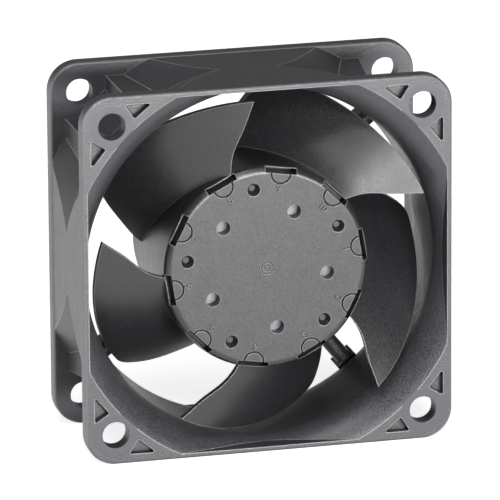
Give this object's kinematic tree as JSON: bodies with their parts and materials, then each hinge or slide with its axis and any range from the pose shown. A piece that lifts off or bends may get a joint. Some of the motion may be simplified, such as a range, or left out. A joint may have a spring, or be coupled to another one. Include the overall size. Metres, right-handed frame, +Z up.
{
  "type": "axial cooling fan",
  "caption": "Compact square axial fan with a round duct, swept blades on a motor hub, corner screw holes and rear struts.",
  "frame": {"origin": "middle of the square frame, on the rotor axis, half way between intake face and exhaust face", "axes": "-Y towards the intake, +Y towards the exhaust, +Z up and +X right as seen from the intake"},
  "size_m": [0.0596, 0.025, 0.0596],
  "materials": {
    "moulded_housing": "fine matt grain, dark charcoal glass-filled plastic",
    "moulded_impeller": "fine matt grain, dark charcoal glass-filled plastic",
    "turned_brass": "turned",
    "bearing_steel": "ground and polished",
    "zinc_plated_steel": "drawn and plated",
    "laminated_steel": "stacked laminations",
    "ferrite": "bonded ferrite",
    "former_plastic": "natural polyamide",
    "enamelled_copper": "enamelled winding wire",
    "board_laminate": "glass-epoxy laminate with solder mask",
    "solder": "tin solder",
    "chip_body": "moulded epoxy",
    "cap_plastic": "moulded",
    "spring_steel": "drawn wire"
  },
  "bodies": {
    "frame": {"housing": "moulded_housing", "bearing_tube": "turned_brass", "bore_cap": "cap_plastic", "front_bearing_outer_ring": "bearing_steel", "front_bearing_balls": "bearing_steel", "front_bearing_shields": "bearing_steel", "rear_bearing_outer_ring": "bearing_steel", "rear_bearing_balls": "bearing_steel", "rear_bearing_shields": "bearing_steel", "stator_core": "laminated_steel", "front_insulator": "former_plastic", "rear_insulator": "former_plastic", "stator_coils": "enamelled_copper", "winding_pins": "solder", "circuit_board": "board_laminate", "solder_joints": "solder", "hall_sensor": "chip_body", "driver_chip": "chip_body", "filter_capacitor": "chip_body", "protection_diode": "chip_body", "chip_resistors": "chip_body"},
    "rotor": {"impeller": "moulded_impeller", "rotor_yoke": "zinc_plated_steel", "ring_magnet": "ferrite", "shaft_bush": "turned_brass", "rotor_shaft": "bearing_steel", "preload_spring": "spring_steel", "thrust_washer": "spring_steel", "retaining_clip": "spring_steel", "front_bearing_inner_ring": "bearing_steel", "rear_bearing_inner_ring": "bearing_steel"}
  },
  "joints": [
    {"name": "rotor_spin", "type": "hinge", "parent": "frame", "child": "rotor", "pos_m": [0, 0, 0], "axis": [0, 1, 0], "continuous": true}
  ]
}
